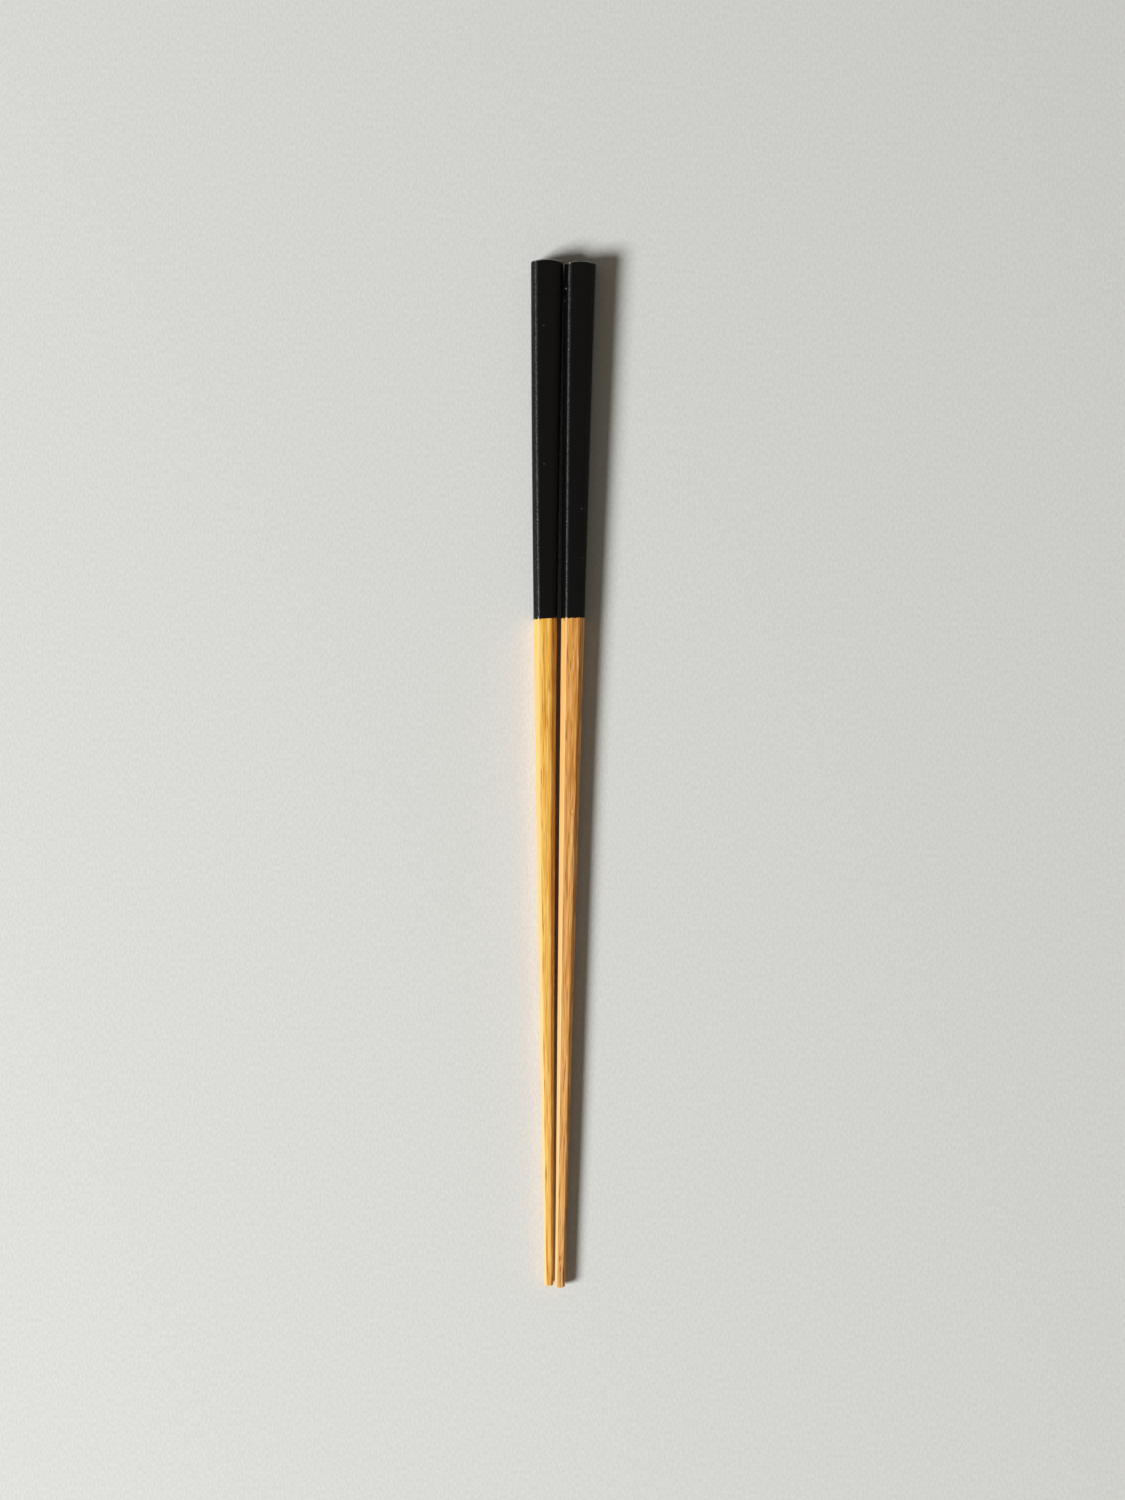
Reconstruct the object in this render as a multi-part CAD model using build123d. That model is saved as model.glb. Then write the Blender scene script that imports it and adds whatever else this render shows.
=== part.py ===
from build123d import *
from math import cos, pi, radians, sqrt, tan
import os

# A pair of bamboo chopsticks with lacquered handles, lying side by side as two loose sticks do.
# +X runs from the left chopstick to the right one, +Y from the tips to the butts, +Z up.
# The origin is under the middle of the pair, on the table. All sizes are in millimetres.

# Lengths along a chopstick, measured from its butt
stick_length = 230.0
handle_length = 80.0
nose_length = 15.0
warp_start = 95.0

# Widths of the left chopstick's bare bamboo before its sides are crowned. It is as thick as wide
left_butt_width = 7.06
left_collar_width = 5.20
left_nose_width = 2.30
left_tip_width = 2.06

# Widths of the right chopstick's bare bamboo
right_butt_width = 6.96
right_collar_width = 5.28
right_nose_width = 2.48
right_tip_width = 2.28

# Facet planed along the upper left edge: how far it reaches in from each side
butt_left_facet = 0.95
collar_left_facet = 1.15
tip_left_facet = 0.45

# Facet planed along the upper right edge
butt_right_facet = 1.45
collar_right_facet = 1.10
tip_right_facet = 0.45

# Facets planed along the two lower edges
butt_lower_facet = 1.10
collar_lower_facet = 0.85
tip_lower_facet = 0.38

# How steeply the facets are planed, in degrees from the face above or below the stick
left_facet_tilt = 45.0
right_facet_tilt = 38.0
lower_facet_tilt = 45.0

# Softening of the edges between the faces, and the slight crown of all faces but the lowest
butt_edge_radius = 0.60
tip_edge_radius = 0.16
face_crown_radius = 45.0

# Rounding of the two ends, at the butt over the lacquer
butt_dome_radius = 11.0
butt_rim_radius = 0.40
tip_dome_radius = 2.2
tip_rim_radius = 0.12

# Warp of the bamboo: each stick's bow to the left, the tips' rise, and what is planed off below
# so that the handles lie flat
left_bow = 0.54
right_bow = 0.10
deepest_bow = 97.0
tip_rise = 0.95
planed_off = 0.05

# The lacquer on the handles, and how far its dipped edge is out of square, in degrees
lacquer_thickness = 0.06
left_dip_tilt = 3.5
right_dip_tilt = 2.5

# How the two lie beside each other
butt_gap = 0.38
tip_gap = 0.34
left_lean = 0.34
right_set_back = 0.40

# The blank is lofted through evenly spaced sections, and is longer by the allowance at both ends
# until they are rounded
blank_sections = 17
end_allowance = 1.0

nose_start = stick_length - nose_length


class Chopstick:
    """One chopstick: where its centreline runs and how wide it is along it."""

    def __init__(self, butt, collar, nose, tip, bow, dip_tilt):
        self.butt_width = butt
        self.collar_width = collar
        self.nose_width = nose
        self.tip_width = tip
        self.bow = bow
        self.dip_tilt = dip_tilt
        self.butt_x = 0.0
        self.tip_x = 0.0
        self.butt_y = 0.0

    def lie(self, butt_x, tip_x, butt_y):
        """Place the two ends on the table."""
        self.butt_x = butt_x
        self.tip_x = tip_x
        self.butt_y = butt_y

    def handle_width(self):
        """Width of the butt with its lacquer."""
        return self.butt_width + 2 * lacquer_thickness

    def width(self, s):
        """Width of the bare bamboo at a distance s from the butt."""
        return tapered(s, self.butt_width, self.collar_width, self.nose_width, self.tip_width)

    def centre(self, s):
        """Point of the table under the centreline at a distance s from the butt."""
        share = s / stick_length
        deepest = deepest_bow / stick_length
        fade = 1 / deepest - 1
        bow = self.bow * share / deepest * (max(0.0, 1 - share) / (1 - deepest)) ** fade
        x = self.butt_x + (self.tip_x - self.butt_x) * share - bow
        return Vector(x, self.butt_y - s, 0)

    def underside(self, s):
        """Height of the bamboo's lowest face above the table, where it isn't planed flat."""
        return lacquer_thickness + tip_rise * warp(s)

    def middle(self, s):
        """Middle of the section at a distance s from the butt."""
        return self.centre(s) + Vector(0, 0, self.underside(s) + self.width(s) / 2)


def tapered(s, butt, collar, nose, tip):
    """A size at a distance s from the butt, in straight lines between its four stations."""
    if s <= handle_length:
        return butt + (collar - butt) * s / handle_length
    if s <= nose_start:
        return collar + (nose - collar) * (s - handle_length) / (nose_start - handle_length)
    return nose + (tip - nose) * (s - nose_start) / nose_length


def warp(s):
    """Share of the tip's rise at a distance s: none along the handle, all of it at the tip."""
    past = max(0.0, (s - warp_start) / (stick_length - warp_start))
    return (1 - cos(pi * past)) / 2


def stations():
    """Distances from the butt of the sections that the blank is lofted through."""
    spacing = (stick_length + 2 * end_allowance) / (blank_sections - 1)
    return [i * spacing - end_allowance for i in range(blank_sections)]


def planed(reach, tilt, coat):
    """How far a facet reaches in from the side, and how far along the side, grown by the coat."""
    turn = radians(tilt)
    inwards = reach + coat * (1 - tan(turn / 2))
    along = reach * tan(turn) + coat * (1 - tan((pi / 2 - turn) / 2))
    return inwards, along


def crowned(start, end):
    """One face of the section, seen end on: a very flat arc that bulges outwards."""
    reach = (end - start).length
    return SagittaArc(start, end, -reach * reach / (8 * face_crown_radius))


def section(stick, s, coat):
    """Section across a chopstick: a square with planed and softened edges, grown by the coat."""
    side = stick.width(s) / 2 + coat
    bottom = stick.underside(s) - planed_off * (1 - warp(s)) - coat
    top = stick.underside(s) + stick.width(s) + coat
    left = tapered(s, butt_left_facet, collar_left_facet, tip_left_facet, tip_left_facet)
    right = tapered(s, butt_right_facet, collar_right_facet, tip_right_facet, tip_right_facet)
    lower = tapered(s, butt_lower_facet, collar_lower_facet, tip_lower_facet, tip_lower_facet)
    left_in, left_down = planed(left, left_facet_tilt, coat)
    right_in, right_down = planed(right, right_facet_tilt, coat)
    lower_in, lower_up = planed(lower, lower_facet_tilt, coat)
    corners = [
        Vector(lower_in - side, bottom),
        Vector(side - lower_in, bottom),
        Vector(side, bottom + lower_up),
        Vector(side, top - right_down),
        Vector(side - right_in, top),
        Vector(left_in - side, top),
        Vector(-side, top - left_down),
        Vector(-side, bottom + lower_up),
    ]
    base = Line(corners[0], corners[1])
    faces = [crowned(a, b) for a, b in zip(corners[1:], corners[2:] + corners[:1])]
    outline = make_face([base] + faces)
    softening = butt_edge_radius + (tip_edge_radius - butt_edge_radius) * s / stick_length
    outline = fillet(outline.vertices(), softening + coat)
    across = Plane(origin=stick.centre(s), x_dir=(1, 0, 0), z_dir=(0, -1, 0))
    return across * outline


def blank(stick, coat):
    """A chopstick lofted over its whole length, grown by the coat and planed flat below."""
    body = loft([section(stick, s, coat) for s in stations()])
    table = Plane.XY.offset(lacquer_thickness - coat)
    return split(body, bisect_by=table, keep=Keep.TOP)


def domed(body, stick, s, radius, outwards):
    """The body with its end at s cut to a shallow dome.

    Outwards is +1 at the butt, which points along +Y, and -1 at the tip.
    """
    reach = 0.75 * stick.width(s)
    shoulder = radius - sqrt(radius**2 - reach**2)
    ball = Pos(stick.middle(s) - Vector(0, outwards * radius, 0)) * Sphere(radius)
    block = Pos(stick.middle(s)) * Box(3 * reach, 2 * (shoulder + end_allowance), 3 * reach)
    return body - (block - ball)


def rim(body, outwards):
    """Edges round the domed end of the body."""
    dome = body.faces().sort_by(Axis.Y)[-1 if outwards > 0 else 0]
    return dome.edges()


def bamboo(stick):
    """The whole stick of bamboo. Its butt is domed and bevelled to fit inside the lacquer."""
    body = blank(stick, 0.0)
    body = domed(body, stick, lacquer_thickness, butt_dome_radius - lacquer_thickness, 1)
    body = chamfer(rim(body, 1), butt_rim_radius - lacquer_thickness)
    body = domed(body, stick, stick_length, tip_dome_radius, -1)
    return fillet(rim(body, -1), tip_rim_radius)


def lacquer_coat(stick, bare):
    """The lacquer on the handle: a thin skin over the bare stick, down to the dipped edge."""
    towards_butt = Vector(0, 1, 0).rotate(Axis.Z, stick.dip_tilt)
    dipped_edge = Plane(origin=stick.centre(handle_length), z_dir=towards_butt)
    handle = split(blank(stick, lacquer_thickness), bisect_by=dipped_edge, keep=Keep.TOP)
    handle = domed(handle, stick, 0.0, butt_dome_radius, 1)
    return fillet(rim(handle, 1), butt_rim_radius) - bare


left = Chopstick(
    left_butt_width, left_collar_width, left_nose_width, left_tip_width, left_bow, left_dip_tilt
)
right = Chopstick(
    right_butt_width, right_collar_width, right_nose_width, right_tip_width, right_bow, right_dip_tilt
)

pair_width = left.handle_width() + butt_gap + right.handle_width()
pair_length = stick_length + right_set_back
left_butt_x = (left.handle_width() - pair_width) / 2
right_butt_x = (pair_width - right.handle_width()) / 2
left_tip_x = left_butt_x + left_lean
right_tip_x = left_tip_x + (left_tip_width + right_tip_width) / 2 + tip_gap
left.lie(left_butt_x, left_tip_x, pair_length / 2)
right.lie(right_butt_x, right_tip_x, pair_length / 2 - right_set_back)

pieces = {}
for side, stick in (("left", left), ("right", right)):
    bare = bamboo(stick)
    pieces[side + "_chopstick"] = bare
    pieces[side + "_lacquer_coat"] = lacquer_coat(stick, bare)

os.makedirs("parts", exist_ok=True)
for name, piece in pieces.items():
    export_step(piece.solid(), f"parts/{name}.step")
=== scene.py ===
"""A pair of bamboo chopsticks with black lacquered handles, lying on pale paper under studio light.

Sizes are in millimetres up to the last step of each mesh, which turns them to metres. A distance
along a chopstick is its station, measured from the butt towards the tip.
"""

import logging
from dataclasses import dataclass
from enum import Enum
from functools import partial
from math import cos, pi, radians, sin, sqrt, tan
from typing import Any

import bpy
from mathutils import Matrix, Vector

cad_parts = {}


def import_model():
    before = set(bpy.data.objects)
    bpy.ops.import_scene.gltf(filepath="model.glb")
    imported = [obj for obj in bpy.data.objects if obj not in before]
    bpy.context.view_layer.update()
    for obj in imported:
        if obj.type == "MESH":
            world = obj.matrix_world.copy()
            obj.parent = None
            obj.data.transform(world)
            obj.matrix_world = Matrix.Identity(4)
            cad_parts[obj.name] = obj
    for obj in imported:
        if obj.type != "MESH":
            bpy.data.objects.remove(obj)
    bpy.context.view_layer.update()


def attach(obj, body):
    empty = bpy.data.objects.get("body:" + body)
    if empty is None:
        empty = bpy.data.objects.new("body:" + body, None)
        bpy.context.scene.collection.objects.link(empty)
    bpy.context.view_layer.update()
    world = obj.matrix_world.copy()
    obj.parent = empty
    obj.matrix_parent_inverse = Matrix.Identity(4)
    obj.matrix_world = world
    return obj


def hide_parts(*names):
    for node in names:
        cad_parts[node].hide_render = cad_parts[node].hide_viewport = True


MM = 0.001
GRAIN = "grain"
CUT = "cut"
EIGHTH_TURN = pi / 4
SQUARE_HALF = sqrt(0.5)
MARK_DEPTH = 1.4

log = logging.getLogger("chopsticks")


def linear(hex_colour: str) -> tuple[float, float, float, float]:
    """Turn an sRGB hex colour into Blender's linear colour.

    Args:
        hex_colour: Six hex digits after a hash, such as "#e8af4e".

    Returns:
        Red, green, blue and alpha, with alpha 1.
    """
    shares = [int(hex_colour[i : i + 2], 16) / 255 for i in (1, 3, 5)]
    red, green, blue = (c / 12.92 if c <= 0.04045 else ((c + 0.055) / 1.055) ** 2.4 for c in shares)
    return red, green, blue, 1.0


def add_node(
    tree: bpy.types.NodeTree, kind: str, inputs: dict | None = None, **settings: Any
) -> bpy.types.Node:
    """Add a node to a tree, with its settings and links.

    Args:
        tree: The node tree that gets the node.
        kind: Blender's name for the kind of node.
        inputs: For a socket's name or number, the socket that feeds it or the value it holds.
        settings: The node's own properties.

    Returns:
        The new node.
    """
    node = tree.nodes.new(kind)
    for name, value in settings.items():
        setattr(node, name, value)
    for key, value in (inputs or {}).items():
        if isinstance(value, bpy.types.NodeSocket):
            tree.links.new(value, node.inputs[key])
        else:
            node.inputs[key].default_value = value
    return node


class Side(Enum):
    """Which of the two chopsticks, as they lie."""

    LEFT = "left"
    RIGHT = "right"


class Facet(Enum):
    """The edges of the square stick that are planed off."""

    LEFT = "left facet"
    RIGHT = "right facet"
    LOWER = "lower facet"


@dataclass(frozen=True)
class Whittling:
    """The sizes that both chopsticks share, in millimetres, and the facets' tilts in degrees."""

    stick_length: float = 230.0
    handle_length: float = 80.0
    nose_length: float = 15.0
    warp_start: float = 95.0
    butt_edge_radius: float = 0.60
    tip_edge_radius: float = 0.16
    face_crown_radius: float = 45.0
    butt_dome_radius: float = 11.0
    butt_rim_radius: float = 0.40
    tip_dome_radius: float = 2.2
    tip_rim_radius: float = 0.12
    deepest_bow: float = 97.0
    tip_rise: float = 0.95
    planed_off: float = 0.05
    lacquer_thickness: float = 0.06
    left_facets: tuple[float, float, float] = (0.95, 1.15, 0.45)
    right_facets: tuple[float, float, float] = (1.45, 1.10, 0.45)
    lower_facets: tuple[float, float, float] = (1.10, 0.85, 0.38)
    left_facet_tilt: float = 45.0
    right_facet_tilt: float = 38.0

    @property
    def nose_start(self) -> float:
        """Station where the taper nearly stops."""
        return self.stick_length - self.nose_length

    def facets(self) -> dict[Facet, tuple[float, float, float]]:
        """How far each facet reaches in from the side, at the butt, the collar and the tip."""
        return {Facet.LEFT: self.left_facets, Facet.RIGHT: self.right_facets, Facet.LOWER: self.lower_facets}


@dataclass(frozen=True)
class Widths:
    """A bare stick's width at its four stations, in millimetres. It is as thick as wide."""

    butt: float
    collar: float
    nose: float
    tip: float


@dataclass(frozen=True)
class Place:
    """Where a chopstick lies, in millimetres."""

    butt_x: float
    tip_x: float
    butt_y: float


@dataclass(frozen=True)
class ProfilePoint:
    """One ring of a closed form round a chopstick.

    Attributes:
        station: Distance of the ring from the butt.
        inset: How far the ring lies under the bare stick's surface. The lacquer's is below nought.
        squeeze: 1 on the surface, less inside an end face and 0 at its pole.
    """

    station: float
    inset: float
    squeeze: float = 1.0


class ChopstickTree:
    """The Geometry Nodes tree that sweeps a chopstick's section along a list of rings.

    The eight sides are counted from the right one, over the top and the left and back underneath.
    A fade is two distances from a mark's middle, in sides: where it is gone and where it is whole.

    Attributes:
        face_cells: Cells across one face.
        corner_cells: Cells round the softened edge after it.
        sides: Faces of the section.
        top_side: Number of the top face.
        upper_left_side: Number of the upper left facet.
        planed_side: Number of the lowest face, which is flat.
        facet_fade: The fade of the upper left facet's mark, counted from the facet's two edges.
        left_edge_fade: The fade of the mark on the edge between that facet and the top.
        right_edge_fade: The fade of the mark on the edge to the right of the top.
        end_fade: Length over which an end face's dome fades out along the stick, in millimetres.
        dip_fade: The same for the slant and wander of the lacquer's edge.
        merge_distance: Distance at which points of the seam and the poles are joined, in metres.
        fibre_spacing: Spacing of the ridged fibres, in millimetres. The real ones are finer.
        fibre_run: Length over which a fibre's height changes, in millimetres.
        waver_turns: How finely the lacquer's edge wanders on its way round.
    """

    face_cells = 12
    corner_cells = 4
    sides = 8
    top_side = 2
    upper_left_side = 3
    planed_side = 6
    facet_fade = (0.32, 0.02)
    left_edge_fade = (0.18, 0.05)
    right_edge_fade = (0.46, 0.06)
    end_fade = 8.0
    dip_fade = 6.0
    merge_distance = 2e-7
    fibre_spacing = 0.5
    fibre_run = 14.0
    waver_turns = 6.0

    def __init__(self, sizes: dict[str, float]) -> None:
        """Make the tree, with one named input for each size.

        Args:
            sizes: The names of the inputs with the values they start from.
        """
        self.tree = bpy.data.node_groups.new("chopstick", "GeometryNodeTree")
        self.values: dict[str, Any] = {}
        self.sockets: dict[str, str] = {}
        self.add_inputs(sizes)
        self.find_cell()
        self.mark_upper_edges()
        self.waver_dipped_edge()
        self.taper()
        self.lie()
        self.shape_section()
        self.finish_form()

    @property
    def side_cells(self) -> int:
        """Cells across one face and the rounded corner after it."""
        return self.face_cells + self.corner_cells

    @property
    def columns(self) -> int:
        """Cells round the whole section."""
        return self.sides * self.side_cells

    def add_inputs(self, sizes: dict[str, float]) -> None:
        """Give the tree its geometry, its named sizes, its finish and its output.

        Args:
            sizes: The names of the inputs with the values they start from.
        """
        interface = self.tree.interface
        interface.new_socket("Rings", in_out="INPUT", socket_type="NodeSocketGeometry")
        for name, value in sizes.items():
            socket = interface.new_socket(name, in_out="INPUT", socket_type="NodeSocketFloat")
            socket.default_value = value
            self.sockets[name] = socket.identifier
        finish = interface.new_socket("finish", in_out="INPUT", socket_type="NodeSocketMaterial")
        self.sockets["finish"] = finish.identifier
        interface.new_socket("Form", in_out="OUTPUT", socket_type="NodeSocketGeometry")
        group = add_node(self.tree, "NodeGroupInput")
        self.values.update({socket.name: socket for socket in group.outputs if socket.name})

    def work_out(self, *steps: tuple) -> None:
        """Add one node for each step, and keep its result under the step's name.

        Args:
            steps: A name, an operation and its operands, which are numbers or names of earlier
                results. SHARE is how far the first operand has come from the second to the third,
                and any other operation is one of the Math node's.
        """
        for name, operation, *operands in steps:
            inputs = {i: self.values[o] if isinstance(o, str) else o for i, o in enumerate(operands)}
            if operation == "SHARE":
                node = add_node(self.tree, "ShaderNodeMapRange", inputs, label=name)
            else:
                node = add_node(self.tree, "ShaderNodeMath", inputs, label=name, operation=operation)
            self.values[name] = node.outputs[0]

    def keep(self, kind: str, inputs: dict, names: tuple[str, ...], **settings: Any) -> None:
        """Add a node whose operands are looked up by name, and keep its outputs under names.

        Args:
            kind: Blender's name for the kind of node.
            inputs: For each socket, a number, a vector, the name of an earlier result or, where
                nothing has that name, a text.
            names: The names for the node's first outputs.
            settings: The node's own properties.
        """
        found = {
            key: self.values.get(value, value) if isinstance(value, str) else value
            for key, value in inputs.items()
        }
        node = add_node(self.tree, kind, found, **settings)
        self.values.update(zip(names, node.outputs))

    def find_cell(self) -> None:
        """Lay a flat grid, one column for each step round the section and one row for each ring."""
        columns = self.columns
        self.keep("GeometryNodeAttributeDomainSize", {"Geometry": "Rings"}, ("rings",), component="MESH")
        self.work_out(("rows", "SUBTRACT", "rings", 1.0), ("half rows", "MULTIPLY", "rows", 0.5))
        self.keep(
            "GeometryNodeMeshGrid",
            {"Size X": float(columns), "Size Y": "rows", "Vertices X": columns + 1, "Vertices Y": "rings"},
            ("grid",),
        )
        self.keep("GeometryNodeInputPosition", {}, ("position",))
        self.keep("ShaderNodeSeparateXYZ", {0: "position"}, ("column", "row"))
        self.work_out(
            ("column", "ADD", "column", columns / 2),
            ("column", "ROUND", "column"),
            ("row", "ADD", "row", "half rows"),
            ("row", "ROUND", "row"),
            ("turns", "DIVIDE", "column", float(self.side_cells)),
            ("cell", "FLOORED_MODULO", "column", float(self.side_cells)),
            ("side", "FLOOR", "turns"),
            ("side", "FLOORED_MODULO", "side", float(self.sides)),
            ("along face", "SHARE", "cell", 0.0, float(self.face_cells)),
            ("round corner", "SHARE", "cell", float(self.face_cells), float(self.side_cells)),
            ("bearing", "SUBTRACT", "turns", self.face_cells / self.side_cells / 2),
            ("bearing", "MULTIPLY", "bearing", EIGHTH_TURN),
            ("easting", "COSINE", "bearing"),
            ("height", "SINE", "bearing"),
        )
        self.keep(
            "GeometryNodeSampleIndex",
            {"Geometry": "Rings", "Value": "position", "Index": "row"},
            ("ring",),
            data_type="FLOAT_VECTOR",
        )
        self.keep("ShaderNodeSeparateXYZ", {0: "ring"}, ("station", "inset", "squeeze"))

    def mark_upper_edges(self) -> None:
        """Mark the upper left facet, the edge between it and the top face, and the right one.

        Each mark fades out over a part of a turn, so that the wood's colours blend at the edges. The
        materials paint light on these marks: sheen on the facet, a highlight on the left edge and shade on
        the right edge.
        """
        half_face = self.face_cells / self.side_cells / 2
        half_corner = self.corner_cells / self.side_cells / 2
        facet_fade = tuple(half_face + distance for distance in self.facet_fade)
        for name, middle, fade in (
            ("facet share", self.upper_left_side + half_face, facet_fade),
            ("left edge share", self.upper_left_side - half_corner, self.left_edge_fade),
            ("right edge share", self.top_side - half_corner, self.right_edge_fade),
        ):
            self.work_out(
                ("off middle", "SUBTRACT", "turns", middle),
                ("off middle", "ABSOLUTE", "off middle"),
                (name, "SHARE", "off middle", *fade),
            )
        self.keep(
            "ShaderNodeCombineXYZ",
            {0: "facet share", 1: "left edge share", 2: "right edge share"},
            ("shares",),
        )

    def waver_dipped_edge(self) -> None:
        """Slant the lacquer's dipped edge and let it wander, as it does where it crept along fibres.

        It stands back a little from the edge beside the upper left facet, where it ran thin.
        """
        self.keep("ShaderNodeCombineXYZ", {0: "easting", 1: "height", 2: "seed"}, ("round",))
        self.keep(
            "ShaderNodeTexNoise",
            {"Vector": "round", "Scale": self.waver_turns, "Detail": 3.0, "Roughness": 0.65},
            ("waver",),
            normalize=True,
        )
        self.work_out(
            ("waver", "SUBTRACT", "waver", 0.5),
            ("waver", "MULTIPLY", "waver", "dip waver"),
            ("slant", "MULTIPLY", "easting", "dip slant"),
            ("shift", "SUBTRACT", "waver", "slant"),
            ("thin", "MULTIPLY", "left edge share", "dip set back"),
            ("shift", "SUBTRACT", "shift", "thin"),
            ("shift", "ADD", "shift", "dip creep"),
            ("dip fade", "SUBTRACT", "handle length", self.dip_fade),
            ("near dip", "SHARE", "station", "dip fade", "handle length"),
            ("station", "MULTIPLY_ADD", "shift", "near dip", "station"),
        )

    def taper(self) -> None:
        """Work out the section's sizes at the ring's station, in straight lines between four stations."""
        self.work_out(
            ("on handle", "SHARE", "station", 0.0, "handle length"),
            ("on shaft", "SHARE", "station", "handle length", "nose start"),
            ("on nose", "SHARE", "station", "nose start", "stick length"),
            ("width", "MULTIPLY_ADD", "on handle", "handle taper", "butt width"),
            ("width", "MULTIPLY_ADD", "on shaft", "shaft taper", "width"),
            ("width", "MULTIPLY_ADD", "on nose", "nose taper", "width"),
            ("half", "MULTIPLY", "width", 0.5),
            ("length share", "DIVIDE", "station", "stick length"),
            ("softening", "MULTIPLY_ADD", "length share", "edge radius change", "butt edge radius"),
        )
        for facet in Facet:
            name = facet.value
            self.work_out(
                (name, "MULTIPLY_ADD", "on handle", name + " on handle", name),
                (name, "MULTIPLY_ADD", "on shaft", name + " on shaft", name),
            )

    def lie(self) -> None:
        """Place the middle of the section: the stick bows to the left and its tip rises."""
        self.work_out(
            ("swing", "SHARE", "station", "warp start", "stick length"),
            ("swing", "MULTIPLY", "swing", pi),
            ("swing", "COSINE", "swing"),
            ("warp", "MULTIPLY_ADD", "swing", -0.5, 0.5),
            ("underside", "MULTIPLY_ADD", "warp", "tip rise", "lacquer thickness"),
            ("middle z", "ADD", "underside", "half"),
            ("bend", "DIVIDE", "length share", "deepest share"),
            ("past bend", "SUBTRACT", 1.0, "length share"),
            ("past bend", "MAXIMUM", "past bend", 0.0),
            ("far side", "SUBTRACT", 1.0, "deepest share"),
            ("past bend", "DIVIDE", "past bend", "far side"),
            ("bend fade", "DIVIDE", "far side", "deepest share"),
            ("past bend", "POWER", "past bend", "bend fade"),
            ("bend", "MULTIPLY", "bend", "past bend"),
            ("bend", "MULTIPLY", "bend", "bow"),
            ("middle x", "MULTIPLY_ADD", "length share", "lean", "butt x"),
            ("middle x", "SUBTRACT", "middle x", "bend"),
        )

    def reach_of_sides(self) -> None:
        """Work out how far each of the eight faces lies from the middle, and pick this cell's three."""
        self.work_out(
            ("unplaned", "SUBTRACT", 1.0, "warp"),
            ("down", "MULTIPLY_ADD", "unplaned", "planed off", "half"),
            ("low corner", "ADD", "half", "down"),
            ("low corner", "SUBTRACT", "low corner", Facet.LOWER.value),
            ("low corner", "MULTIPLY", "low corner", SQUARE_HALF),
            ("side before", "ADD", "side", self.sides - 1.0),
            ("side before", "FLOORED_MODULO", "side before", float(self.sides)),
            ("side after", "ADD", "side", 1.0),
            ("side after", "FLOORED_MODULO", "side after", float(self.sides)),
        )
        for side in ("left", "right"):
            tilt, upper, reach = side + " facet tilt", side + " facet", "up " + side
            self.work_out(
                ("sine", "SINE", tilt),
                ("cosine", "COSINE", tilt),
                (side + " rest of turn", "SUBTRACT", pi / 2, tilt),
                (reach, "SUBTRACT", "half", upper),
                (reach, "MULTIPLY", reach, "sine"),
                (reach, "MULTIPLY_ADD", "half", "cosine", reach),
            )
        self.work_out(("left facing", "ADD", pi / 2, "left facet tilt"))
        reaches = ("half", "up right", "half", "up left", "half", "low corner", "down", "low corner")
        upper_facings = (0.0, "right rest of turn", pi / 2, "left facing")
        facings = upper_facings + tuple(EIGHTH_TURN * side for side in range(4, self.sides))
        upper_turns = ("right rest of turn", "right facet tilt", "left facet tilt", "left rest of turn")
        turns = upper_turns + 4 * (EIGHTH_TURN,)
        self.pick("side", reaches, "reach")
        self.pick("side before", reaches, "reach before")
        self.pick("side after", reaches, "reach after")
        self.pick("side", facings, "facing")
        self.pick("side", turns, "turn after")
        self.pick("side before", turns, "turn before")

    def pick(self, which: str, choices: tuple, name: str) -> None:
        """Choose one value out of eight by a side's number.

        Args:
            which: The name of the side's number.
            choices: For each side, a number or the name of an earlier result.
            name: The name for the chosen value.
        """
        switch = add_node(self.tree, "GeometryNodeIndexSwitch", data_type="FLOAT", label=name)
        while len(switch.index_switch_items) < len(choices):
            switch.index_switch_items.new()
        self.tree.links.new(self.values[which], switch.inputs["Index"])
        for number, choice in enumerate(choices):
            socket = switch.inputs[str(number)]
            if isinstance(choice, str):
                self.tree.links.new(self.values[choice], socket)
            else:
                socket.default_value = choice
        self.values[name] = switch.outputs[0]

    def sink_between_fibres(self) -> None:
        """Sink the surface between the bamboo's fibres, which leave it slightly ridged."""
        across = 1 / self.fibre_spacing
        self.work_out(
            ("fibre x", "MULTIPLY", "easting", "half"),
            ("fibre x", "MULTIPLY", "fibre x", across),
            ("fibre z", "MULTIPLY", "height", "half"),
            ("fibre z", "MULTIPLY_ADD", "fibre z", across, "seed"),
            ("fibre y", "DIVIDE", "station", self.fibre_run),
        )
        self.keep("ShaderNodeCombineXYZ", {0: "fibre x", 1: "fibre y", 2: "fibre z"}, ("fibre",))
        self.keep(
            "ShaderNodeTexNoise",
            {"Vector": "fibre", "Scale": 1.0, "Detail": 2.0, "Roughness": 0.5},
            ("ridge",),
            normalize=True,
        )
        self.work_out(
            ("groove", "SUBTRACT", 1.0, "ridge"),
            ("groove", "MULTIPLY", "groove", "fibre relief"),
            ("inset", "ADD", "inset", "groove"),
        )

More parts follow.
